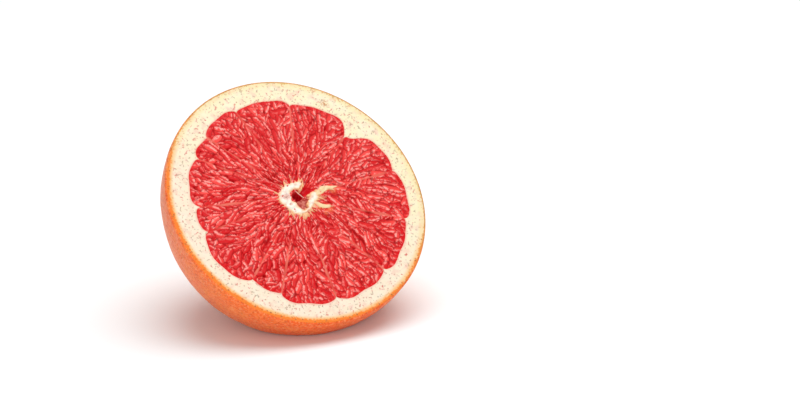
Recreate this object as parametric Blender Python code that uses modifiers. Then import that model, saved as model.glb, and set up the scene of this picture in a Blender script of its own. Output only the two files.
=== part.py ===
"""Half a pink grapefruit, cut across its middle, lying on its rind with the cut face leaning forward.

The half is one grown piece, so it is one solid. It is drawn with the cut face level and centred on
the origin, the rind hanging below it, and is then tipped by FACE_TILT and stood on the floor.
"""

import math

import bmesh
import bpy
from mathutils import Matrix, Vector

# Driving dimensions, in metres and degrees.
FACE_RADIUS = 0.056  # rind to centre on the cut face
DOME_DEPTH = 0.0504  # cut face to the stem end
RIM_ROUND = 0.0006  # softened edge where the knife left the rind
FACE_TILT = 45.0  # the cut face's lean towards -Y
REST_DEPTH = 0.0052  # how much of the rind is pressed flat underneath

STEM_DIP_RADIUS = 0.0075  # hollow around the stem
STEM_DIP_DEPTH = 0.0016
STEM_SCAR_RADIUS = 0.0027  # the dry button in that hollow
STEM_SCAR_HEIGHT = 0.0008

PULP_RECESS = 0.0010  # how far the pulp lies below the pith and the membranes
MEMBRANE = 0.0010  # thickness of the wall between two segments
LOBE_ROUNDNESS = 2.3  # 2 is an ellipse, more is squarer
CLEFT_BEARING = 35.5  # one wedge of pith, wider than the rest, comes in between two segments
CLEFT_WIDTH = 5.8
CLEFT_DEPTH = 0.0052
CORE_OFFSET = (0.0013, 0.0017)  # the core isn't quite in the middle of the face
CORE_RADIUS = 0.0085
HOLLOW_OFFSET = (0.0043, 0.0006)  # the opening in the core
HOLLOW_SIZE = (0.0092, 0.0084, 0.0100)

# Each segment's width in degrees, how far it reaches as a share of FACE_RADIUS, and how far the pith
# comes in along the membrane before it. They run anticlockwise from FIRST_MEMBRANE.
FIRST_MEMBRANE = 7.7
SEGMENTS = [
    (31.0, 0.860, 0.830),
    (35.0, 0.830, 0.760),
    (31.0, 0.835, 0.790),
    (24.5, 0.840, 0.800),
    (14.5, 0.810, 0.795),
    (30.0, 0.820, 0.765),
    (15.5, 0.795, 0.735),
    (35.5, 0.845, 0.755),
    (17.0, 0.795, 0.770),
    (30.5, 0.840, 0.780),
    (34.0, 0.835, 0.785),
    (34.0, 0.850, 0.790),
    (27.5, 0.880, 0.825),
]

TURN_STEPS = 96
DOME_RINGS = 22
LOBE_POINTS = 14


def clear_scene():
    for old in list(bpy.data.objects):
        bpy.data.objects.remove(old, do_unlink=True)


def make_collection(name):
    collection = bpy.data.collections.new(name)
    bpy.context.scene.collection.children.link(collection)
    return collection


def make_material(name, color, roughness):
    material = bpy.data.materials.new(name)
    material.use_nodes = True
    shader = material.node_tree.nodes["Principled BSDF"]
    shader.inputs["Base Color"].default_value = (*color, 1.0)
    shader.inputs["Roughness"].default_value = roughness
    shader.inputs["Metallic"].default_value = 0.0
    return material


def standing_height():
    """Height of the middle of the cut face above the floor."""
    tilt = math.radians(FACE_TILT)
    return math.hypot(FACE_RADIUS * math.sin(tilt), DOME_DEPTH * math.cos(tilt)) - REST_DEPTH


def face_setback():
    """Y of the middle of the cut face, with the whole half centred front to back."""
    tilt = math.radians(FACE_TILT)
    front = FACE_RADIUS * math.cos(tilt)
    back = math.hypot(FACE_RADIUS * math.cos(tilt), DOME_DEPTH * math.sin(tilt))
    return (front - back) / 2


def face_matrix():
    """Takes the level drawing of the half to where it lies."""
    place = Matrix.Translation((0.0, face_setback(), standing_height()))
    return place @ Matrix.Rotation(math.radians(FACE_TILT), 4, "X")


def dome_depth_at(radius):
    """Depth of the rind's skin below the cut face, at a distance from the stem's axis."""
    depth = DOME_DEPTH * math.sqrt(max(0.0, 1 - (radius / FACE_RADIUS) ** 2))
    dip = STEM_DIP_DEPTH * math.exp(-((radius / STEM_DIP_RADIUS) ** 2) * 2)
    scar = STEM_SCAR_HEIGHT / (1 + (radius / STEM_SCAR_RADIUS) ** 6)
    return depth - dip + scar


def dome_profile():
    """Points from the middle of the cut face out to the rim and down the rind to the stem."""
    inner = FACE_RADIUS - RIM_ROUND
    points = [(0.0, 0.0)]
    for i in range(5):
        angle = math.radians(90 - 22.5 * i)
        points.append((inner + RIM_ROUND * math.cos(angle), RIM_ROUND * (math.sin(angle) - 1)))
    first = math.asin(RIM_ROUND * 2 / DOME_DEPTH)
    for i in range(DOME_RINGS):
        angle = first + (math.radians(86) - first) * i / (DOME_RINGS - 1)
        radius = FACE_RADIUS * math.cos(angle)
        points.append((radius, -dome_depth_at(radius)))
    for share in (0.8, 0.55, 0.3):
        radius = STEM_SCAR_RADIUS * share
        points.append((radius, -dome_depth_at(radius)))
    points.append((0.0, -dome_depth_at(0.0)))
    return points


def make_half(parts):
    """The uncut half: its outline, turned about the stem's axis."""
    outline = bpy.data.meshes.new("grapefruit_half")
    points = dome_profile()
    edges = [(i, i + 1) for i in range(len(points) - 1)]
    outline.from_pydata([(x, 0.0, z) for x, z in points], edges, [])
    half = bpy.data.objects.new("grapefruit_half", outline)
    parts.objects.link(half)
    half.matrix_world = face_matrix()
    turn = half.modifiers.new("turn", "SCREW")
    turn.axis = "Z"
    turn.angle = math.tau
    turn.steps = TURN_STEPS
    turn.render_steps = TURN_STEPS
    turn.use_merge_vertices = True
    turn.merge_threshold = 0.00001
    turn.use_smooth_shade = True
    return half


def polar(bearing, radius):
    angle = math.radians(bearing)
    return Vector((radius * math.cos(angle), radius * math.sin(angle)))


def segment_outline(start, width, reach, left_pith, right_pith):
    """One segment on the cut face: a wedge from the core that ends in a rounded lobe."""
    core = Vector(CORE_OFFSET)
    outline = []
    for i in range(LOBE_POINTS + 1):
        across = -math.cos(math.pi * i / LOBE_POINTS)
        share = (across + 1) / 2
        pith = left_pith * (1 - share) + right_pith * share
        swell = (1 - abs(across) ** LOBE_ROUNDNESS) ** (1 / LOBE_ROUNDNESS)
        bearing = start + width * share
        cleft = CLEFT_DEPTH * math.exp(-(((bearing - CLEFT_BEARING) / CLEFT_WIDTH) ** 2))
        radius = FACE_RADIUS * (pith + (reach - pith) * swell) - cleft
        wall = math.degrees(MEMBRANE / 2 / radius)
        outline.append(polar(start + wall + (width - 2 * wall) * share, radius))
    left = (outline[0] - core).normalized()
    right = (outline[-1] - core).normalized()
    half_angle = left.angle(right) / 2
    tip = core + (left + right).normalized() * max(CORE_RADIUS, MEMBRANE / math.sin(half_angle))
    spread = Vector((-(left + right).y, (left + right).x)).normalized()
    tip_half_width = (tip - core).length * math.tan(half_angle) - MEMBRANE / 2
    outline.append(tip + spread * max(tip_half_width, 0.0002))
    outline.append(tip - spread * max(tip_half_width, 0.0002))
    return outline


def cutter_object(mesh, name, cutters):
    cutter = bpy.data.objects.new(name, mesh)
    cutters.objects.link(cutter)
    cutter.hide_render = True
    cutter.display_type = "WIRE"
    return cutter


def flat_outline_mesh(name, outline, thickness):
    """A closed plate with the given outline, centred on Z = 0."""
    drawing = bpy.data.curves.new(name, "CURVE")
    drawing.dimensions = "2D"
    drawing.fill_mode = "BOTH"
    drawing.extrude = thickness / 2
    spline = drawing.splines.new("POLY")
    spline.points.add(len(outline) - 1)
    for point, place in zip(spline.points, outline):
        point.co = (place.x, place.y, 0.0, 1.0)
    spline.use_cyclic_u = True
    drawn = bpy.data.objects.new(name, drawing)
    bpy.context.scene.collection.objects.link(drawn)
    view = bpy.context.evaluated_depsgraph_get()
    mesh = bpy.data.meshes.new_from_object(drawn.evaluated_get(view))
    bpy.data.objects.remove(drawn)
    welded = bmesh.new()
    welded.from_mesh(mesh)
    bmesh.ops.remove_doubles(welded, verts=welded.verts, dist=0.000001)
    bmesh.ops.recalc_face_normals(welded, faces=welded.faces)
    welded.to_mesh(mesh)
    welded.free()
    return mesh


def make_pulp_cutters(cutters):
    """A shallow pocket for each segment's pulp, which lies a little below the pith."""
    start = FIRST_MEMBRANE
    for i, (width, reach, left_pith) in enumerate(SEGMENTS):
        right_pith = SEGMENTS[(i + 1) % len(SEGMENTS)][2]
        outline = segment_outline(start, width, reach, left_pith, right_pith)
        mesh = flat_outline_mesh(f"pulp_cutter_{i:02d}", outline, 2 * PULP_RECESS)
        pocket = cutter_object(mesh, f"pulp_cutter_{i:02d}", cutters)
        pocket.matrix_world = face_matrix()
        start += width


def make_hollow_cutter(cutters):
    """The opening where the pith of the core has come apart."""
    ball = bmesh.new()
    bmesh.ops.create_uvsphere(ball, u_segments=20, v_segments=12, radius=0.5)
    bmesh.ops.scale(ball, vec=HOLLOW_SIZE, verts=ball.verts)
    bmesh.ops.translate(ball, vec=(*HOLLOW_OFFSET, 0.0), verts=ball.verts)
    mesh = bpy.data.meshes.new("hollow_cutter")
    ball.to_mesh(mesh)
    ball.free()
    cutter_object(mesh, "hollow_cutter", cutters).matrix_world = face_matrix()


def make_floor_cutter(cutters):
    """A block whose top is the floor, which leaves the flat spot that the half rests on."""
    block = bmesh.new()
    bmesh.ops.create_cube(block, size=1.0)
    bmesh.ops.scale(block, vec=(3 * FACE_RADIUS, 3 * FACE_RADIUS, DOME_DEPTH), verts=block.verts)
    bmesh.ops.translate(block, vec=(0.0, 0.0, -DOME_DEPTH / 2), verts=block.verts)
    mesh = bpy.data.meshes.new("floor_cutter")
    block.to_mesh(mesh)
    block.free()
    cutter_object(mesh, "floor_cutter", cutters)


def build():
    clear_scene()
    parts = make_collection("grapefruit")
    cutters = make_collection("cutters")
    half = make_half(parts)
    half.data.materials.append(make_material("peel", (0.80, 0.33, 0.10), 0.45))
    make_pulp_cutters(cutters)
    make_hollow_cutter(cutters)
    make_floor_cutter(cutters)
    carve = half.modifiers.new("carve", "BOOLEAN")
    carve.operation = "DIFFERENCE"
    carve.operand_type = "COLLECTION"
    carve.collection = cutters
    carve.solver = "EXACT"


build()
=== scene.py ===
"""Half a pink grapefruit: the looks of its rind, pith, pulp and core, grown over the plain solid.

Every surface is drawn in millimetres on the cut face, with x across it, y up it and z out of it,
and is then laid on the tilted solid.
"""

import math

import bpy
import numpy as np
from mathutils import Matrix, Vector


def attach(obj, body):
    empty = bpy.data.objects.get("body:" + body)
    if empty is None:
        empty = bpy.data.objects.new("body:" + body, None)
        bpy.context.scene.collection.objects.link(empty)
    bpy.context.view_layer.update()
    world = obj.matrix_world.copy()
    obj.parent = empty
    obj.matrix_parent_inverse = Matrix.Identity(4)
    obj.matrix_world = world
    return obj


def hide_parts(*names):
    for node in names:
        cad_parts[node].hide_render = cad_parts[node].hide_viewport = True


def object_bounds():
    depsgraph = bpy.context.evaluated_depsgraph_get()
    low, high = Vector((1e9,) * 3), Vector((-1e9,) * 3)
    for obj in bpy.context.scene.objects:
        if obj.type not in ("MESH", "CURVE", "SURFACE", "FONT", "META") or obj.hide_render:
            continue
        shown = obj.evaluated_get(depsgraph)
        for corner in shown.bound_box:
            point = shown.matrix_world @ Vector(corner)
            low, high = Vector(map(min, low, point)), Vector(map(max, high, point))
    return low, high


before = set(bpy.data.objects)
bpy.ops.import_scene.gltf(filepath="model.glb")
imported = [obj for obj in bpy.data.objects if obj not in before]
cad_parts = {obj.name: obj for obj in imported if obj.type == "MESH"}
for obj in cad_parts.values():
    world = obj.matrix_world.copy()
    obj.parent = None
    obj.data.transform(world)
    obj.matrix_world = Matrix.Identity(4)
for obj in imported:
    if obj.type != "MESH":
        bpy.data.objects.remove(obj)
CAD_LOW, CAD_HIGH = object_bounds()

# How the cut face lies, in the fruit's own frame.
FACE_TILT = math.radians(45)
FACE_TURN = math.radians(11.2)  # how far the drawing of the face is turned about the fruit's axis
FACE_POSE = Matrix.Rotation(FACE_TILT, 3, "X") @ Matrix.Rotation(FACE_TURN, 3, "Z")
FACE_RADIUS = (CAD_HIGH.x - CAD_LOW.x) / 2
MM = FACE_RADIUS / 56  # a millimetre on the fruit at its drawn size
FACE_MIDDLE = Vector((
    (CAD_LOW.x + CAD_HIGH.x) / 2,
    CAD_LOW.y + FACE_RADIUS * math.cos(FACE_TILT),
    CAD_HIGH.z - FACE_RADIUS * math.sin(FACE_TILT),
))
FLOOR = CAD_LOW.z

# The fruit's own sizes, in millimetres.
RIM = 56.0  # the rind's skin on the cut face
DOME = 50.4  # cut face to the stem end
KNIFE_ROUND = 0.4  # softened edge where the knife left the skin
SKIN_BAND = 0.8  # the outer edge of the cut, which belongs to the rind
BAND_SUNK = 0.02  # how far that band lies below the cut
BAND_LAP = 0.15  # how far the pith runs on under it
PITH_FOOT = -3.0  # the hidden underside of the pith
PULP_REACH = 50.0  # no pulp lies further from the middle
PULP_UNDER = 1.1  # how far the pulp runs on under the lip of the pith
FLOOR_PRESS = 0.4  # how softly the rind turns into its flat spot
FLOOR_REACH = 8.0  # above the floor by more than this, the rind keeps its shape
STEM_DIP_RADIUS, STEM_DIP_DEPTH = 7.5, 1.6  # hollow around the stem
STEM_SCAR_RADIUS, STEM_SCAR_HEIGHT = 2.7, 0.8  # the dry button in that hollow
CORE = np.array([1.6, 1.4])  # where the membranes meet
CLEFT_BEARING, CLEFT_WIDTH, CLEFT_DEPTH = 24.3, 5.8, 5.2  # the one wide wedge of pith
LOBE_ROUNDNESS = 2.3  # 2 is an ellipse, more is squarer
BRUISE = (36.0, 35.8, 0.5)  # a small brown bruise in the pith

# Each segment's width in degrees, its reach as a share of RIM, and how far the pith comes in along
# the membrane before it. They run anticlockwise from FIRST_MEMBRANE.
FIRST_MEMBRANE = -3.5
SEGMENTS = [
    (31.0, 0.860, 0.830),
    (35.0, 0.830, 0.760),
    (31.0, 0.835, 0.790),
    (24.5, 0.840, 0.800),
    (14.5, 0.810, 0.795),
    (30.0, 0.820, 0.765),
    (15.5, 0.795, 0.735),
    (35.5, 0.845, 0.755),
    (17.0, 0.795, 0.770),
    (30.5, 0.840, 0.780),
    (34.0, 0.835, 0.785),
    (34.0, 0.850, 0.790),
    (27.5, 0.880, 0.825),
]
WIDTHS, REACHES, PITHS = (np.array(column) for column in zip(*SEGMENTS))
MEMBRANES = FIRST_MEMBRANE + np.concatenate([[0.0], np.cumsum(WIDTHS)])

# The white of the core, as strokes from its middle: each is a list of (x, y, half width).
CORE_BAND = [
    (3.3, 4.6, 1.0), (0.6, 5.2, 1.6), (-2.6, 4.9, 1.8), (-5.2, 3.1, 2.0), (-5.9, 0.2, 2.2),
    (-4.9, -2.4, 2.2), (-3.9, -4.8, 1.8), (-2.4, -6.6, 1.0), (-0.4, -7.1, 0.5), (1.8, -6.4, 0.6),
    (3.4, -5.0, 0.9), (5.2, -3.4, 1.5), (6.5, -2.3, 1.6), (7.5, -1.6, 1.0),
]
CORE_STRANDS = [
    [
        (7.4, -1.8, 0.9), (9.6, -1.5, 1.2), (12.2, -0.7, 1.35),
        (14.5, -0.8, 1.1), (16.4, -1.5, 0.7), (18.6, -1.7, 0.1),
    ],
    [(14.8, -1.2, 0.8), (17.0, -3.2, 0.1)],
    [(5.8, -5.0, 0.8), (7.0, -6.8, 1.15), (8.6, -8.0, 1.1), (10.5, -8.6, 0.9), (12.0, -9.1, 0.1)],
    [(7.3, -7.2, 0.8), (7.4, -9.8, 0.1)],
]
HOLLOW_THREAD = [(0.7, 3.5, 0.3), (1.4, 1.5, 0.22), (2.4, -0.7, 0.22), (4.5, -2.5, 0.35)]

# How finely the pieces are drawn.
PEEL_AROUND, PEEL_DOWN = 480, 170
PITH_AROUND, PITH_ACROSS = 1100, 29
PULP_GRID = 0.27  # millimetres between points
CORE_GRID = 0.13
SAC_TRIES = 34000  # sacs thrown at the pulp, of which those with room are kept
BATCH = 3000  # points worked out at a time

# Red, green and blue, each from 0 to 1.
COLOURS = {
    "golden rind": (0.90, 0.28, 0.035),
    "red rind": (0.90, 0.15, 0.018),
    "dull rind": (0.84, 0.18, 0.055),
    # painted shade for the rind towards the bottom of the face
    "low rind painted shade": (0.86, 0.10, 0.010),
    "browned rind edge": (0.50, 0.26, 0.05),
    "pale rind patch": (0.90, 0.30, 0.07),
    "pale freckle": (0.88, 0.34, 0.14),
    "dark freckle": (0.62, 0.085, 0.012),
    "gland pit": (0.60, 0.08, 0.010),
    "olive stem end": (0.50, 0.24, 0.04),
    "dry stem button": (0.20, 0.10, 0.035),
    "cream pith": (0.85, 0.76, 0.51),
    "rosy pith": (0.85, 0.72, 0.56),
    "pale pith": (0.86, 0.80, 0.66),
    "pink pith": (0.80, 0.52, 0.40),
    "tan grain": (0.70, 0.52, 0.34),
    "brown speck": (0.40, 0.27, 0.17),
    "red speck": (0.64, 0.17, 0.13),
    "golden pith": (0.86, 0.64, 0.26),
    "orange pith": (0.84, 0.44, 0.12),
    "juicy pith": (0.80, 0.40, 0.30),
    "golden cut skin": (0.66, 0.38, 0.09),
    "orange cut skin": (0.86, 0.20, 0.012),
    "cut gland": (0.42, 0.13, 0.03),
    "bruise": (0.56, 0.23, 0.08),
    "deep flesh": (0.62, 0.006, 0.009),
    "light flesh": (0.90, 0.074, 0.062),
    "bright flesh": (0.86, 0.05, 0.045),
    # painted highlight on the juice sacs
    "painted sac highlight": (0.94, 0.34, 0.30),
    # painted shade on the far side of each sac
    "sac shade": (0.42, 0.001, 0.003),
    # painted shade at the feet of the sacs
    "sac foot painted shade": (0.38, 0.003, 0.005),
    # painted shade for the creases between sacs
    "crease": (0.30, 0.0, 0.002),
    "amber flesh": (0.88, 0.25, 0.08),
    # painted shade for the flesh along the pith
    "painted shade by the pith": (0.66, 0.006, 0.010),
    "membrane": (0.76, 0.20, 0.14),
    "hollow side": (0.82, 0.004, 0.010),
    "dark film": (0.40, 0.05, 0.04),
    "light film": (0.66, 0.20, 0.15),
    # painted shade for the deep pit of the hollow
    "hollow floor painted shade": (0.50, 0.002, 0.008),
    "tan core": (0.84, 0.50, 0.24),
    "white core": (0.86, 0.80, 0.68),
    "straw shred": (0.80, 0.60, 0.32),
    "pink blotch": (0.76, 0.36, 0.28),
    "thin core": (0.76, 0.24, 0.10),
    "dark soaked core": (0.46, 0.17, 0.13),
    "light soaked core": (0.78, 0.44, 0.36),
    "pink thread": (0.86, 0.42, 0.36),
}

# The setting. Lamp places are in metres, and the camera's aim and distance in face radii.
FLOOR_HALF = 4.0
FLOOR_PAINT = {"Base Color": (0.935, 0.955, 0.96, 1), "Roughness": 0.8}
WORLD_LIGHT = 0.48
VIEW_TURN = math.radians(-28.2)
VIEW_LIFT = math.radians(18.84)
VIEW_AIM = (0.7512, -0.0611)  # right of and above the middle of the cut face
VIEW_DISTANCE = 32.273
VIEW_LENS, VIEW_SENSOR = 200, 36


# Noise ------------------------------------------------------------------------------------------


def plane_noise(x, y, spacing, seed):
    """Smooth noise from -1 to 1, with a bump about every `spacing` millimetres. Each seed has a
    pattern of its own."""
    table = np.random.default_rng(seed).uniform(-1, 1, (256, 256))
    u, v = x / spacing + 128.0, y / spacing + 128.0
    i, j = np.floor(u).astype(int), np.floor(v).astype(int)
    s, t = u - i, v - j
    s, t = s * s * (3 - 2 * s), t * t * (3 - 2 * t)
    low = table[i % 256, j % 256] * (1 - s) + table[(i + 1) % 256, j % 256] * s
    high = table[i % 256, (j + 1) % 256] * (1 - s) + table[(i + 1) % 256, (j + 1) % 256] * s
    return low * (1 - t) + high * t


def space_noise(points, spacing, seed):
    """The same for points in space, one row each."""
    table = np.random.default_rng(seed).uniform(-1, 1, (64, 64, 64))
    u = points / spacing + 32.0
    cell = np.floor(u).astype(int)
    share = u - cell
    share = share * share * (3 - 2 * share)
    total = 0.0
    for corner in np.ndindex(2, 2, 2):
        i, j, k = ((cell + corner) % 64).T
        weight = np.prod(np.where(corner, share, 1 - share), axis=1)
        total = total + table[i, j, k] * weight
    return total


def ramp(value, low, high):
    """0 below low, 1 above high, and smooth between."""
    t = np.clip((value - low) / (high - low), 0, 1)
    return t * t * (3 - 2 * t)


# Where the parts of the cut face lie --------------------------------------------------------------


def rim_radius(bearing):
    """The skin's distance from the middle, by bearing in degrees: not quite a circle."""
    turn = np.radians(bearing)
    return RIM + 0.16 * np.sin(2 * turn + 0.7) + 0.12 * np.sin(3 * turn + 2.1) - 0.12


def flesh_radius(bearing):
    """Where the pulp gives way to the pith: a row of rounded lobes, notched at each membrane."""
    bearing = (np.asarray(bearing, float) - FIRST_MEMBRANE) % 360 + FIRST_MEMBRANE
    index = np.clip(np.searchsorted(MEMBRANES, bearing, side="right") - 1, 0, len(SEGMENTS) - 1)
    share = (bearing - MEMBRANES[index]) / WIDTHS[index]
    pith = PITHS[index] * (1 - share) + PITHS[(index + 1) % len(SEGMENTS)] * share
    across = np.clip(np.abs(2 * share - 1), 0, 1)
    swell = (1 - across**LOBE_ROUNDNESS) ** (1 / LOBE_ROUNDNESS)
    turn = np.radians(bearing)
    uneven = 0.35 * np.sin(11 * turn + 1.3) + 0.25 * np.sin(23 * turn + 0.4)
    cleft = CLEFT_DEPTH * np.exp(-(((bearing - CLEFT_BEARING) / CLEFT_WIDTH) ** 2))
    return RIM * (pith + (REACHES[index] - pith) * swell) + uneven * swell - cleft


def notch_directions():
    """The angle of each membrane as it leaves the core."""
    turn = np.radians(MEMBRANES[:-1])
    notch = RIM * PITHS[:, None] * np.stack([np.cos(turn), np.sin(turn)], axis=1)
    away = notch - CORE
    return np.unwrap(np.arctan2(away[:, 1], away[:, 0]))


def segment_places(x, y):
    """For points on the face: distance and angle from the core, segment, share across it, and
    distance to the nearest membrane."""
    directions = notch_directions()
    start = directions[0]
    walls = np.concatenate([directions, [start + math.tau]])
    dx, dy = x - CORE[0], y - CORE[1]
    reach = np.hypot(dx, dy)
    angle = (np.arctan2(dy, dx) - start) % math.tau + start
    index = np.clip(np.searchsorted(walls, angle, side="right") - 1, 0, len(SEGMENTS) - 1)
    share = (angle - walls[index]) / (walls[index + 1] - walls[index])
    nearest = np.minimum(angle - walls[index], walls[index + 1] - angle)
    return reach, angle, index, share, reach * np.sin(np.minimum(nearest, math.pi / 2))


def blob(x, y, middle, size, turn=0.0):
    """0 in the middle of an oval, 1 on its edge."""
    dx, dy = x - middle[0], y - middle[1]
    c, s = math.cos(turn), math.sin(turn)
    return np.hypot((dx * c + dy * s) / size[0], (dy * c - dx * s) / size[1])


def within_stroke(x, y, stroke):
    """How far inside a stroke of changing width a point is, in millimetres; negative outside."""
    best = np.full(len(x), -99.0)
    for (x0, y0, w0), (x1, y1, w1) in zip(stroke, stroke[1:]):
        dx, dy = x1 - x0, y1 - y0
        share = np.clip(((x - x0) * dx + (y - y0) * dy) / (dx * dx + dy * dy), 0, 1)
        away = np.hypot(x - x0 - share * dx, y - y0 - share * dy)
        best = np.maximum(best, w0 + (w1 - w0) * share - away)
    return best


def within_any(x, y, strokes):
    return np.max([within_stroke(x, y, stroke) for stroke in strokes], axis=0)


# Juice sacs ---------------------------------------------------------------------------------------


def scatter_sacs(rng):
    """The juice sacs of each segment: place, direction, half length, half width, bend and depth."""
    bearing = rng.uniform(0, 360, SAC_TRIES)
    radius = PULP_REACH * np.sqrt(rng.uniform(0, 1, SAC_TRIES))
    x, y = radius * np.cos(np.radians(bearing)), radius * np.sin(np.radians(bearing))
    depth = flesh_radius(bearing) - radius
    reach, angle, index, share, wall = segment_places(x, y)
    sway = plane_noise(x, y, 7.0, 11) + 0.5 * plane_noise(x, y, 3.5, 12)
    spread = rng.normal(0, 1, (SAC_TRIES, 5))
    outer = ramp(depth, 9.0, 1.5)
    lean = (0.10 + 0.50 * ramp(reach, 8, 40)) * (2 * share - 1)
    axis = angle + lean + 0.62 * sway * ramp(reach, 6, 20) + (0.16 + 0.50 * outer) * spread[:, 0]
    long = np.clip(4.7 + 1.5 * spread[:, 1], 2.4, 8.0) * (1 - 0.45 * outer)
    long = long * (0.60 + 0.40 * ramp(reach, 5, 18))
    wide = np.clip(1.32 + 0.30 * spread[:, 2] + 0.05 * outer, 0.7, 2.0)
    wide = wide * (0.46 + 0.50 * ramp(reach, 6, 34))
    bend = 0.55 * spread[:, 3]
    sink = -0.30 + 0.26 * spread[:, 4]
    table = np.stack([x, y, axis, long, wide, bend, sink], 1)
    usable = (depth > 0.2) & (wall > 0.3)
    return [spaced_out(table[usable & (index == segment)]) for segment in range(len(SEGMENTS))]


def spaced_out(sacs):
    """The sacs that don't lie too far over one that came before them."""
    chosen = np.empty((0, sacs.shape[1]))
    for sac in sacs:
        if len(chosen):
            dx, dy = chosen[:, 0] - sac[0], chosen[:, 1] - sac[1]
            c, s = math.cos(sac[2]), math.sin(sac[2])
            along = (dx * c + dy * s) / (sac[3] + chosen[:, 3])
            aside = (dy * c - dx * s) / (sac[4] + chosen[:, 4])
            if np.min(along**2 + aside**2) < 0.20:
                continue
        chosen = np.vstack([chosen, sac])
    return chosen


def grow_sacs(x, y, kept):
    """The top of the heap of sacs at each point: its height, whose sac it is, how near its crest,
    how far into the crease beside the next sac, and the place across the sac."""
    index = segment_places(x, y)[2]
    bend_x = x + 0.30 * plane_noise(x, y, 2.6, 21) + 0.10 * plane_noise(x, y, 0.9, 22)
    bend_y = y + 0.30 * plane_noise(x, y, 2.6, 23) + 0.10 * plane_noise(x, y, 0.9, 24)
    owner = np.zeros(len(x), int)
    height, crest, crease, across = (np.zeros(len(x)) for _ in range(4))
    first = 0
    for segment, sacs in enumerate(kept):
        mine = np.nonzero(index == segment)[0]
        px, py, axis, long, wide, bend, sink = sacs.T
        for part in np.array_split(mine, max(1, len(mine) // BATCH)):
            dx, dy = bend_x[part, None] - px, bend_y[part, None] - py
            c, s = np.cos(axis), np.sin(axis)
            along = (dx * c + dy * s) / long
            aside = (dy * c - dx * s + bend * (along**2 - 0.4)) / (wide * (1 + 0.25 * along))
            left = 1 - np.abs(along) ** 2.6 - aside**2
            top = sink + 0.16 * along * np.sign(bend) + wide * np.sqrt(np.clip(left, 0, 1))
            top = np.where(left > 0, top, -1.6 + 0.3 * np.clip(left, -3, 0))
            order = np.argpartition(-top, 1, axis=1)[:, :2]
            pair = np.take_along_axis(top, order, axis=1)
            best = np.where(pair[:, 1] > pair[:, 0], order[:, 1], order[:, 0])
            rows = np.arange(len(part))
            owner[part] = first + best
            height[part] = top[rows, best]
            crest[part] = np.sqrt(np.clip(left[rows, best], 0, 1))
            crease[part] = ramp(np.abs(pair[:, 0] - pair[:, 1]), 0.26, 0.0)
            across[part] = aside[rows, best]
        first += len(sacs)
    return height, owner, crest, crease, across


# Laying surfaces on the solid ---------------------------------------------------------------------


def on_the_fruit(points):
    """Face millimetres to the row's frame, pressed flat where the rind meets the floor."""
    placed = points @ (np.array(FACE_POSE).T * MM) + np.array(FACE_MIDDLE)
    above = placed[:, 2] - FLOOR
    placed[:, 2] = FLOOR + (above + np.sqrt(above**2 + (FLOOR_PRESS * MM) ** 2)) / 2
    high = above > FLOOR_REACH * MM
    placed[high, 2] = FLOOR + above[high]
    return placed


def make_piece(name, points, faces, finish, marks):
    """A smooth piece from points in face millimetres, with its marks kept for the finish."""
    mesh = bpy.data.meshes.new(name)
    mesh.from_pydata(on_the_fruit(points).tolist(), [], faces)
    mesh.shade_smooth()
    for mark, values in marks.items():
        layer = mesh.attributes.new(mark, "FLOAT", "POINT")
        layer.data.foreach_set("value", np.asarray(values, np.float32))
    mesh.materials.append(finish.material)
    mesh.validate()
    piece = bpy.data.objects.new(name, mesh)
    bpy.context.scene.collection.objects.link(piece)
    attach(piece, "root")
    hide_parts("grapefruit_half")


def ring(radius, turn, height):
    """Points at one height, once round the axis."""
    return np.stack([radius * np.cos(turn), radius * np.sin(turn), 0 * turn + height], 1)


def ring_faces(rows, around, closed_loop=False):
    """Quads between rows of points that each go once round."""
    faces = []
    for row in range(rows if closed_loop else rows - 1):
        here, there = row * around, ((row + 1) % rows) * around
        for k in range(around):
            after = (k + 1) % around
            faces.append((here + k, here + after, there + after, there + k))
    return faces


def grid_faces(keep, rows):
    """Quads between the kept points of a grid, which are numbered in the order they are kept."""
    number = np.where(keep, np.cumsum(keep) - 1, -1).reshape(rows, -1)
    corners = np.stack([number[:-1, :-1], number[:-1, 1:], number[1:, 1:], number[1:, :-1]], 2)
    return corners[(corners >= 0).all(axis=2)].tolist()


# Finishes -----------------------------------------------------------------------------------------


class Flow:
    """One value or colour on its way through a finish; sums on it add Math nodes."""

    def __init__(self, finish, socket):
        self.finish = finish
        self.socket = socket

    def math(self, operation, first, second):
        return self.finish.node("Math", {"operation": operation}, {0: first, 1: second})

    def __add__(self, other):
        return self.math("ADD", self, other)

    def __sub__(self, other):
        return self.math("SUBTRACT", self, other)

    def __rsub__(self, other):
        return self.math("SUBTRACT", other, self)

    def __mul__(self, other):
        return self.math("MULTIPLY", self, other)

    def clamp(self):
        return self.finish.node("Clamp", {}, {0: self})

    __radd__ = __add__
    __rmul__ = __mul__


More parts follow.
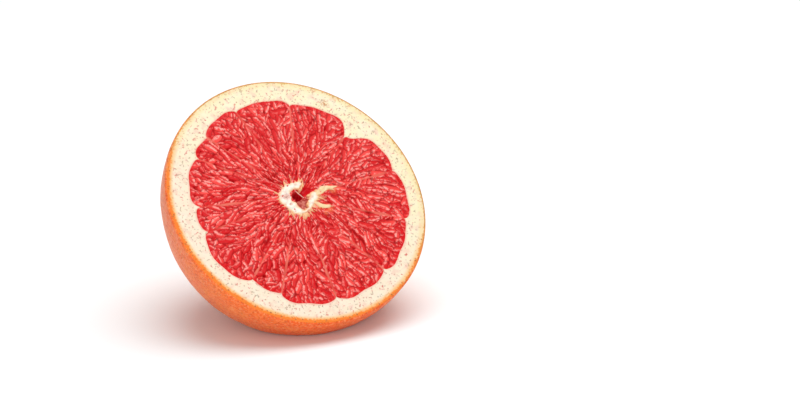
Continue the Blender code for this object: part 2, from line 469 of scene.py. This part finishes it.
class Finish:
    """A material for one kind of surface."""

    def __init__(self, name, constants):
        self.material = bpy.data.materials.new(name)
        self.material.use_nodes = True
        self.tree = self.material.node_tree
        self.shader = self.tree.nodes["Principled BSDF"]
        for socket, value in constants.items():
            self.shader.inputs[socket].default_value = value

    def node(self, kind, settings, sockets, output=0):
        made = self.tree.nodes.new("ShaderNode" + kind)
        for key, value in settings.items():
            setattr(made, key, value)
        for key, value in sockets.items():
            if isinstance(value, Flow):
                self.tree.links.new(value.socket, made.inputs[key])
            else:
                made.inputs[key].default_value = value
        return Flow(self, made.outputs[output])

    def marks(self, *names):
        """Numbers kept on the mesh's points."""
        return [self.node("Attribute", {"attribute_name": name}, {}, "Fac") for name in names]

    def place(self):
        """Where a point lies, in face millimetres."""
        sockets = {
            "Vector": self.node("TexCoord", {}, {}, "Object"),
            "Location": FACE_MIDDLE,
            "Rotation": FACE_POSE.to_euler(),
            "Scale": (MM, MM, MM),
        }
        return self.node("Mapping", {"vector_type": "TEXTURE"}, sockets)

    def noise(self, place, size, detail=2.0, roughness=0.5):
        """Noise from 0 to 1 with features about `size` millimetres across."""
        sockets = {"Vector": place, "Scale": 1 / size, "Detail": detail, "Roughness": roughness}
        return self.node("TexNoise", {}, sockets)

    def cells(self, place, size, feature="F1", output="Distance"):
        """Cells about `size` millimetres across, such as oil glands."""
        sockets = {"Vector": place, "Scale": 1 / size}
        return self.node("TexVoronoi", {"feature": feature}, sockets, output)

    def ramp(self, value, low, high, bottom=0.0, top=1.0):
        sockets = {
            "Value": value,
            "From Min": low,
            "From Max": high,
            "To Min": bottom,
            "To Max": top,
        }
        return self.node("MapRange", {"interpolation_type": "SMOOTHSTEP"}, sockets)

    def mix(self, share, first, second):
        """From the first colour, at share 0, to the second, at 1; a colour may be given by name."""
        first, second = ((*COLOURS[c], 1.0) if isinstance(c, str) else c for c in (first, second))
        sockets = {0: share, 6: first, 7: second}  # 6 and 7 take colours, and output 2 gives one
        return self.node("Mix", {"data_type": "RGBA"}, sockets, 2)

    def coats(self, base, *coats):
        """A colour with others laid over it in turn, each to its own share."""
        for share, colour in coats:
            base = self.mix(share, base, colour)
        return base

    def bump(self, height, distance, strength):
        sockets = {"Height": height, "Distance": distance, "Strength": strength}
        return self.node("Bump", {}, sockets)

    def feed(self, **sockets):
        for key, value in sockets.items():
            self.tree.links.new(value.socket, self.shader.inputs[key.replace("_", " ")])


def blush(finish, place):
    """0 where the skin is yellower, 1 where it is redder."""
    across, up = (finish.node("SeparateXYZ", {}, {"Vector": place}, axis) for axis in ("X", "Y"))
    slant = across * -0.012 + up * -0.010 + finish.noise(place, 16.0, 3.0) * 0.9
    return finish.ramp(slant, 0.0, 0.9)


def skin_share(finish, place, from_axis, redness):
    """How far a point on the cut face is in the coloured skin rather than the pith: 0 to 1, with
    the oil glands making its inner edge uneven."""
    glands = finish.cells(place, 0.95)
    drift = finish.noise(place, 11.0)
    edge = from_axis + (glands - 0.45) * -1.1 + (drift - 0.5) * 1.6 + (redness - 0.5) * 1.3
    return finish.ramp(edge, RIM - 2.0, RIM - 1.1)


def peel_finish():
    """Waxy orange rind, freckled with oil glands, with painted shade making it darker and redder
    towards the bottom of the face.
    """
    finish = Finish("waxy_peel", {
        "Specular IOR Level": 0.2,
        "Coat Weight": 0.14,
        "Coat Roughness": 0.25,
        "Subsurface Weight": 0.1,
        "Subsurface Radius": (1.0, 0.35, 0.12),
        "Subsurface Scale": 1.2 * MM,
    })
    place = finish.place()
    up_face = finish.node("SeparateXYZ", {}, {"Vector": place}, "Y")
    redness = blush(finish, place)
    patch = finish.noise(place, 5.0, 3.0)
    mottle = finish.noise(place, 1.1, 3.0, 0.65)
    pores, fine_pores = finish.cells(place, 1.5), finish.cells(place, 0.75)
    stem, below_cut = finish.marks("stem", "below_cut")
    base = finish.coats(
        finish.mix(redness, "golden rind", "red rind"),
        (finish.ramp(below_cut, 1.0, 7.0) * 0.45, "dull rind"),
        # painted shade: darker and redder towards the bottom of the face
        (finish.ramp(up_face, -28.0, -54.0) * 0.65, "low rind painted shade"),
        (finish.ramp(below_cut, 0.9, 0.3) * (1 - redness) * 0.9, "browned rind edge"),
        (finish.ramp(patch, 0.45, 0.75) * 0.45, "pale rind patch"),
        (finish.ramp(mottle, 0.50, 0.64) * 0.7, "pale freckle"),
        (finish.ramp(mottle, 0.46, 0.34) * 0.6, "dark freckle"),
        (finish.ramp(pores, 0.34, 0.08) * 0.45, "gland pit"),
        (finish.ramp(stem, 6.5, 2.6) * 0.6, "olive stem end"),
        (finish.ramp(stem, 3.1, 2.5), "dry stem button"),
    )
    dents = finish.ramp(pores, 0.05, 0.45) + finish.ramp(fine_pores, 0.0, 0.5) * 0.3 + patch * 0.4
    rough = finish.ramp(patch, 0.3, 0.7, 0.38, 0.52)
    finish.feed(Base_Color=base, Roughness=rough, Normal=finish.bump(dents, 0.35 * MM, 1.0))
    return finish


def pith_finish():
    """Spongy cream pith with small specks, and the cut edge of the skin round it."""
    finish = Finish("spongy_pith", {
        "Roughness": 0.6,
        "Specular IOR Level": 0.25,
        "Coat Weight": 0.08,
        "Coat Roughness": 0.35,
        "Subsurface Weight": 0.2,
        "Subsurface Radius": (1.0, 0.6, 0.35),
        "Subsurface Scale": 0.8 * MM,
    })
    place = finish.place()
    from_axis, to_flesh = finish.marks("from_axis", "to_flesh")
    redness = blush(finish, place)
    blotch = finish.noise(place, 7.0, 3.0)
    pink = finish.noise(place, 3.5, 2.0)
    grain = finish.noise(place, 0.9, 3.0, 0.6)
    hue = finish.noise(place, 2.6)

    # Specks and short dashes, scattered unevenly.
    sway = finish.node("TexNoise", {}, {"Vector": place, "Scale": 0.35}, "Color")
    bent = finish.node("VectorMath", {"operation": "ADD"}, {0: place, 1: sway})
    specks = finish.cells(bent, 1.5)
    speck_colour = finish.cells(bent, 1.5, output="Color")
    pick = finish.node("SeparateColor", {}, {"Color": speck_colour}, "Red")
    dot = finish.ramp(specks, 0.32, 0.16) * finish.ramp(pick, 0.35, 0.5)
    veins = finish.cells(bent, 1.9, "DISTANCE_TO_EDGE")
    dash = finish.ramp(veins, 0.13, 0.05) * finish.ramp(finish.noise(bent, 1.3, 1.0), 0.56, 0.64)
    dot_colour = finish.mix(finish.ramp(hue, 0.42, 0.58), "brown speck", "red speck")

    # The skin at the rim, with its cut glands.
    near_skin = finish.ramp(from_axis + redness * 0.5, RIM - 3.6, RIM - 1.6)
    gold = finish.mix(redness, "golden pith", "orange pith")
    skin = skin_share(finish, place, from_axis, redness)
    skin_colour = finish.mix(redness, "golden cut skin", "orange cut skin")
    glands = finish.ramp(finish.cells(place, 1.4), 0.38, 0.20) * finish.ramp(hue, 0.38, 0.50)
    edge = finish.ramp(skin, 0.0, 0.2) * finish.ramp(from_axis, RIM - 0.8, RIM - 1.3)

    # The bruise.
    ends = {0: bent, 1: BRUISE}
    from_bruise = finish.node("VectorMath", {"operation": "DISTANCE"}, ends, "Value")
    bruise = finish.ramp(from_bruise, 2.4, 0.8) * finish.ramp(grain, 0.40, 0.56)

    base = finish.coats(
        finish.mix(redness, "cream pith", "rosy pith"),
        (finish.ramp(blotch, 0.40, 0.75) * 0.5, "pale pith"),
        (finish.ramp(pink, 0.50, 0.70) * 0.6, "pink pith"),
        (finish.ramp(grain, 0.58, 0.78) * 0.3, "tan grain"),
        ((dot * 0.55 + dash * 0.75).clamp(), dot_colour),
        (near_skin * (0.35 + redness * 0.5), gold),
        (finish.ramp(to_flesh, 1.1, 0.1) * 0.6, "juicy pith"),
        (skin, skin_colour),
        (glands * edge * 0.8, "cut gland"),
        (bruise * 0.9, "bruise"),
    )
    pits = finish.ramp(specks, 0.05, 0.3) + grain * 0.7
    finish.feed(Base_Color=base, Normal=finish.bump(pits, 0.12 * MM, 0.8))
    return finish


def pulp_finish():
    """Wet red juice sacs: a painted pale highlight along one side of each crest, and painted deep
    red shade on the other side, at their feet and between them.
    """
    finish = Finish("wet_pulp", {
        "Roughness": 0.5,
        "Specular IOR Level": 0.04,
        "Coat Roughness": 0.1,
        "Subsurface Weight": 0.06,
        "Subsurface Radius": (1.0, 0.15, 0.12),
        "Subsurface Scale": 0.5 * MM,
    })
    place = finish.place()
    crest, crease, across, tone = finish.marks("crest", "crease", "across", "tone")
    wall, rim, halo = finish.marks("wall", "rim", "halo")
    pit, side, film = finish.marks("pit", "side", "film")
    fine = finish.noise(place, 1.3, 2.0)
    broad = finish.noise(place, 7.0, 2.0)
    # painted highlight: a pale band along one side of each sac's crest
    lit = finish.ramp(across, -0.90, -0.50) * finish.ramp(across, 0.10, -0.30)
    painted_highlight = lit * finish.ramp(crest, 0.20, 0.6) * finish.ramp(fine, 0.38, 0.58)
    film_colour = finish.mix(finish.ramp(fine, 0.36, 0.62), "dark film", "light film")
    flesh = finish.coats(
        finish.mix(tone * tone, "deep flesh", "light flesh"),
        (finish.ramp(broad, 0.45, 0.7) * 0.35, "bright flesh"),
        # painted highlight on the lit side of each sac
        (painted_highlight * finish.ramp(tone, 0.0, 0.6, 0.2, 1.0), "painted sac highlight"),
        # painted shade: the side of each sac away from the light is darker
        (finish.ramp(across, 0.30, 0.85) * 0.8, "sac shade"),
        # painted shade: darker where each sac drops to its foot
        (finish.ramp(crest, 0.30, 0.02) * 0.4, "sac foot painted shade"),
        # painted shade: dark creases between neighbouring sacs
        (crease * 0.9, "crease"),
        (halo * 0.4, "amber flesh"),
        # painted shade: deep red flesh where the pulp meets the pith
        (rim * 0.65, "painted shade by the pith"),
        (wall, "membrane"),
        (side, "hollow side"),
        (film, film_colour),
        # painted shade: the deep pit of the hollow darker
        (pit, "hollow floor painted shade"),
    )
    wet = finish.ramp(crease, 0.6, 0.0, 0.0, 0.12) * finish.ramp(crest, 0.05, 0.4)
    finish.feed(Base_Color=flesh, Coat_Weight=wet, Normal=finish.bump(fine, 0.10 * MM, 0.7))
    return finish


def core_finish():
    """Torn white pith, yellower where it thins and pink where juice has soaked in."""
    finish = Finish("torn_pith", {
        "Roughness": 0.45,
        "Coat Weight": 0.3,
        "Coat Roughness": 0.25,
        "Subsurface Weight": 0.25,
        "Subsurface Radius": (1.0, 0.6, 0.4),
        "Subsurface Scale": 0.8 * MM,
    })
    place = finish.place()
    white, shred, thin, hole, thread = finish.marks("white", "shred", "thin", "hole", "thread")
    blotch = finish.noise(place, 2.2, 3.0)
    grain = finish.noise(place, 0.6, 3.0)
    soaked = finish.mix(finish.ramp(grain, 0.40, 0.60), "dark soaked core", "light soaked core")
    base = finish.coats(
        finish.mix(white, "tan core", "white core"),
        (shred * 0.9, "straw shred"),
        (finish.ramp(blotch, 0.52, 0.72) * 0.6, "pink blotch"),
        (thin * 0.6, "thin core"),
        (hole * 0.85, soaked),
        (thread * 0.8, "pink thread"),
    )
    finish.feed(Base_Color=base, Normal=finish.bump(grain, 0.12 * MM, 0.7))
    return finish


# Pieces -------------------------------------------------------------------------------------------


def make_peel(finish):
    """The skin of the half: over the cut edge, down the outside and round the stem end."""
    bearing = np.arange(PEEL_AROUND) * 360 / PEEL_AROUND
    turn = np.radians(bearing)
    rim = rim_radius(bearing)

    # The inner wall and the narrow band on the cut face, each row at an inset and a height.
    wall = [(SKIN_BAND, -2.2), (SKIN_BAND, -0.9), (SKIN_BAND, -0.2), (0.75, -0.05)]
    band = [(0.68, -BAND_SUNK), (0.54, -BAND_SUNK), (KNIFE_ROUND, -BAND_SUNK)]
    rows = [ring(rim - inset, turn, height) for inset, height in wall + band]
    for roll in (22.5, 45.0, 67.5, 90.0):
        out, up = math.sin(math.radians(roll)), math.cos(math.radians(roll))
        height = (KNIFE_ROUND - BAND_SUNK) * up - KNIFE_ROUND
        rows.append(ring(rim - KNIFE_ROUND + KNIFE_ROUND * out, turn, height))
    cut_points = len(rows) * PEEL_AROUND

    # Down the outside, by an angle below the cut, in steps that close up towards the stem.
    first_dip, last_dip = 1.0, 89.6
    for step in range(1, PEEL_DOWN + 1):
        share = math.sin(math.pi / 2 * step / PEEL_DOWN) ** 1.1
        dip = math.radians(first_dip + (last_dip - first_dip) * share)
        radius = RIM * math.cos(dip)
        depth = DOME * math.sin(dip)
        depth -= STEM_DIP_DEPTH * math.exp(-2 * (radius / STEM_DIP_RADIUS) ** 2)
        depth += STEM_SCAR_HEIGHT / (1 + (radius / STEM_SCAR_RADIUS) ** 6)
        out_of_round = (rim / RIM - 1) * math.cos(dip) ** 2 + 1
        rows.append(ring(radius * out_of_round, turn, -depth))

    points = np.concatenate(rows)
    away = points / np.linalg.norm(points, axis=1)[:, None]
    swell = 0.30 * space_noise(points, 16.0, 31) + 0.10 * space_noise(points, 5.0, 32)
    swell += 0.045 * space_noise(points, 1.6, 33)
    fade = ramp(-points[:, 2], 0.3, 5.0)
    points[cut_points:] += (away * (swell * fade)[:, None])[cut_points:]

    # The last row closes on a point in its middle.
    middle = len(points)
    points = np.vstack([points, points[-PEEL_AROUND:].mean(axis=0)])
    faces = ring_faces(len(rows), PEEL_AROUND)
    last = middle - PEEL_AROUND
    for k in range(PEEL_AROUND):
        faces.append((last + k, last + (k + 1) % PEEL_AROUND, middle))
    faces = [face[::-1] for face in faces]
    marks = {
        "stem": np.hypot(points[:, 0], points[:, 1]) + 99.0 * (points[:, 2] > -20),
        "below_cut": -points[:, 2],
    }
    make_piece("peel", points, faces, finish, marks)


def make_pith(finish):
    """The pale ring between skin and pulp, as a closed band with a rounded lip over the pulp."""
    bearing = np.arange(PITH_AROUND) * 360 / PITH_AROUND
    turn = np.radians(bearing)
    outer = rim_radius(bearing) - SKIN_BAND + BAND_LAP
    inner = flesh_radius(bearing)

    # Each row of points is a radius, a height and a distance from the pulp.
    lip = [(-0.12, PITH_FOOT), (-0.10, -1.0), (-0.07, -0.5), (-0.02, -0.27), (0.08, -0.13)]
    lip_end = 0.3
    lip.append((lip_end, -0.06))
    rows = [(inner + off, 0 * turn + height, 0 * turn + max(off, 0)) for off, height in lip]
    start = inner + lip_end
    for share in np.linspace(0, 1, PITH_ACROSS + 1)[1:]:
        radius = start + (outer - start) * share
        rows.append((radius, 0 * turn, radius - inner))
    rows.append((outer, 0 * turn + PITH_FOOT, outer - inner))
    radius, height, to_flesh = (np.concatenate(column) for column in zip(*rows))

    x = radius * np.tile(np.cos(turn), len(rows))
    y = radius * np.tile(np.sin(turn), len(rows))
    relief = 0.10 * plane_noise(x, y, 3.0, 41) + 0.06 * plane_noise(x, y, 1.2, 42) - 0.08
    relief += 0.05 * np.minimum(plane_noise(x, y, 0.7, 43), 0)
    ease = ramp(to_flesh, 0.1, 1.0) * ramp(np.tile(outer, len(rows)) - radius, -0.01, 0.8)
    height = np.where(height > -0.1, height + relief * ease, height)
    marks = {"from_axis": radius, "to_flesh": to_flesh}
    faces = ring_faces(len(rows), PITH_AROUND, closed_loop=True)
    make_piece("pith", np.stack([x, y, height], 1), faces, finish, marks)


def core_hollows(x, y):
    """Where the pulp sinks round the core, from 0 to 1: its deep pit, the red side of that, and
    the thin film beside it."""
    ragged = 0.14 * plane_noise(x, y, 1.8, 54) + 0.06 * plane_noise(x, y, 0.8, 56)
    x, y = x - CORE[0], y - CORE[1]
    pit = ramp(blob(x, y, (0.5, 0.6), (2.9, 2.5)) + ragged, 1.05, 0.55)
    side = ramp(blob(x, y, (4.9, 1.4), (5.2, 2.5), 0.05) + ragged, 1.05, 0.45)
    film = ramp(blob(x, y, (0.4, -3.5), (3.4, 3.4)) + ragged, 1.05, 0.65)
    return pit, side, film


def make_pulp(finish):
    """All the juice sacs of the cut face, with the hollow of the core sunk in their middle."""
    rng = np.random.default_rng(5)
    count = int(2 * PULP_REACH / PULP_GRID)
    axis = (np.arange(count) - count / 2) * PULP_GRID
    x, y = (a.ravel() for a in np.meshgrid(axis, axis))
    depth = flesh_radius(np.degrees(np.arctan2(y, x))) - np.hypot(x, y)
    keep = depth > -PULP_UNDER
    faces = grid_faces(keep, count)
    x, y, depth = x[keep], y[keep], depth[keep]
    reach, _, _, _, wall = segment_places(x, y)
    kept = scatter_sacs(rng)
    height, owner, crest, crease, across = grow_sacs(x, y, kept)
    tone = rng.uniform(0, 1, sum(len(sacs) for sacs in kept))[owner]

    # The knife took the tops off the heap, and left it gently uneven.
    height = np.maximum(height, -0.42 + 0.08 * plane_noise(x, y, 1.0, 50))
    knife, sharpness = 0.12, 5
    height = knife - np.log1p(np.exp((knife - height) * sharpness)) / sharpness
    height += -0.12 + 0.14 * plane_noise(x, y, 9.0, 51) + 0.03 * plane_noise(x, y, 0.8, 52)

    # The membranes show further out. By the pith the pulp is level, and under its lip it is sunk.
    wander = wall + 0.3 * plane_noise(x, y, 3.0, 53)
    membrane = ramp(wander, 0.50, 0.12) * ramp(reach, 12, 34)
    height = height * (1 - membrane) - 0.15 * membrane
    rim = ramp(depth + 0.5 * plane_noise(x, y, 2.5, 58), 2.0, 0.1)
    height = height + (np.clip(height, -0.22, -0.12) - height) * rim
    height = np.where(depth < -0.25, np.minimum(height, -0.6), height)
    pit, side, film = core_hollows(x, y)
    height = height - np.maximum(3.6 * pit, np.maximum(1.5 * side, 0.9 * film))

    # The loose strands tint the flesh just below them.
    below_strands = within_any(x - CORE[0], y - CORE[1] + 0.9, CORE_STRANDS)
    marks = {
        "crest": crest * (1 - membrane),
        "crease": crease * (1 - membrane),
        "across": across,
        "tone": tone,
        "rim": rim,
        "wall": membrane * np.clip(0.5 + 0.5 * plane_noise(x, y, 5.0, 55), 0, 1),
        "halo": ramp(below_strands, -1.5, 0.2) * ramp(plane_noise(x, y, 1.3, 57), -0.5, 0.3),
        "pit": np.maximum(pit, 0.8 * ramp(side, 0.4, 1.0)),
        "side": side * (1 - pit),
        "film": film * (1 - pit) * (1 - side),
    }
    make_piece("pulp", np.stack([x, y, height], 1), faces, finish, marks)


def core_fibres():
    """Short torn fibres standing out all round the band."""
    rng = np.random.default_rng(8)
    fibres = []
    for x, y, half_width in CORE_BAND:
        for _ in range(8):
            length = half_width + rng.uniform(0.4, 3.2)
            turn = math.atan2(y + 0.8, x - 0.4) + rng.normal(0, 0.45)
            slide = rng.normal(0, 0.9, 2)
            root_x, root_y = x + slide[0], y + slide[1]
            root = (root_x, root_y, rng.uniform(0.3, 0.65))
            tip = (root_x + length * math.cos(turn), root_y + length * math.sin(turn), 0.04)
            fibres.append([root, tip])
    return fibres


def make_core_pith(finish):
    """The torn white pith round the hollow of the core, with its fibres, its film, and the strands
    lying beside it."""
    xs, ys = np.arange(-12.5, 20.0, CORE_GRID), np.arange(-12.5, 10.5, CORE_GRID)
    x, y = (a.ravel() for a in np.meshgrid(xs, ys))
    torn = 0.50 * plane_noise(x, y, 1.9, 61) + 0.34 * plane_noise(x, y, 0.8, 62)
    filled = ramp(blob(x, y, (-4.4, 1.5), (2.6, 2.2)), 1.0, 0.4)
    band = within_stroke(x, y, CORE_BAND) + 0.25 + 0.9 * filled
    spikes = within_any(x, y, core_fibres())
    strands = within_any(x, y, CORE_STRANDS)
    thread = within_stroke(x, y, HOLLOW_THREAD)
    grown = np.maximum(band + torn, spikes + 0.2 * torn)
    loose = np.maximum(strands + 0.5 * torn, thread)
    inward = np.maximum(grown, loose)
    only_thread = (thread > inward - 0.001) & (np.maximum(band, spikes) < 0)

    swell = np.sqrt(ramp(inward, -0.12, 0.6))
    relief = 0.22 * plane_noise(x, y, 1.5, 63) + 0.14 * plane_noise(x, y, 0.7, 64)
    height = -0.20 + 0.42 * swell + relief * ramp(inward, 0.0, 0.8)
    large_hole = blob(x, y, (-4.5, 1.9), (2.8, 1.9))
    small_hole = blob(x, y, (-4.6, -1.8), (1.2, 0.8))
    hole = ramp(np.minimum(large_hole, small_hole), 1.0, 0.3)
    height = height - 0.10 * hole - 0.7 * only_thread
    over_hollow = ramp(blob(x, y, (2.1, -1.1), (6.0, 5.4)), 1.1, 0.7)
    height = np.where((inward < -0.1) & ~only_thread, height - 0.9 - 1.2 * over_hollow, height)
    keep = (inward > -0.32) & ~(only_thread & (thread < -0.05))
    marks = {
        "thread": only_thread[keep],
        "white": ramp(band + 0.8 * torn, -0.2, 1.4)[keep],
        "shred": ramp(strands - np.maximum(band, spikes), -0.3, 0.3)[keep],
        "hole": hole[keep],
        "thin": ramp(inward, 0.5, -0.1)[keep],
    }
    points = np.stack([x + CORE[0], y + CORE[1], height], 1)[keep]
    make_piece("core_pith", points, grid_faces(keep, len(ys)), finish, marks)


# Setting ------------------------------------------------------------------------------------------


def set_floor():
    mesh = bpy.data.meshes.new("studio_floor")
    corners = [(-1, -1), (1, -1), (1, 1), (-1, 1)]
    points = [(x * FLOOR_HALF, y * FLOOR_HALF, FLOOR) for x, y in corners]
    mesh.from_pydata(points, [], [(0, 1, 2, 3)])
    mesh.materials.append(Finish("white_floor", FLOOR_PAINT).material)
    floor = bpy.data.objects.new("studio_floor", mesh)
    bpy.context.scene.collection.objects.link(floor)


def set_lamp(name, place, size, power):
    """A round soft lamp turned towards the middle of the cut face."""
    lamp = bpy.data.lights.new(name, "AREA")
    lamp.shape = "DISK"
    lamp.size = size
    lamp.energy = power
    holder = bpy.data.objects.new(name, lamp)
    holder.location = place
    holder.rotation_euler = (FACE_MIDDLE - Vector(place)).to_track_quat("-Z", "Y").to_euler()
    bpy.context.scene.collection.objects.link(holder)


def set_studio():
    world = bpy.data.worlds.new("soft_white")
    world.use_nodes = True
    background = world.node_tree.nodes["Background"]
    background.inputs["Color"].default_value = (1, 1, 1, 1)
    background.inputs["Strength"].default_value = WORLD_LIGHT
    bpy.context.scene.world = world
    set_lamp("key_softbox", place=(0.20, 0.10, 1.0), size=1.2, power=9.6)
    set_lamp("low_fill", place=(-0.60, -0.85, 0.22), size=0.5, power=3.4)
    bpy.context.scene.view_settings.view_transform = "Standard"


def set_camera():
    """Looks down at the cut face from the front left, with the fruit left of the middle."""
    level = math.cos(VIEW_LIFT)
    right = Vector((math.cos(VIEW_TURN), math.sin(VIEW_TURN), 0))
    back = Vector((math.sin(VIEW_TURN) * level, -math.cos(VIEW_TURN) * level, math.sin(VIEW_LIFT)))
    up = back.cross(right)
    aim = FACE_MIDDLE + FACE_RADIUS * (VIEW_AIM[0] * right + VIEW_AIM[1] * up)
    lens = bpy.data.cameras.new("camera")
    lens.lens = VIEW_LENS
    lens.sensor_width = VIEW_SENSOR
    camera = bpy.data.objects.new("camera", lens)
    turned = Matrix((right, up, back)).transposed().to_4x4()
    camera.matrix_world = Matrix.Translation(aim + back * VIEW_DISTANCE * FACE_RADIUS) @ turned
    bpy.context.scene.collection.objects.link(camera)
    bpy.context.scene.camera = camera


make_peel(peel_finish())
make_pith(pith_finish())
make_pulp(pulp_finish())
make_core_pith(core_finish())
set_floor()
set_studio()
set_camera()
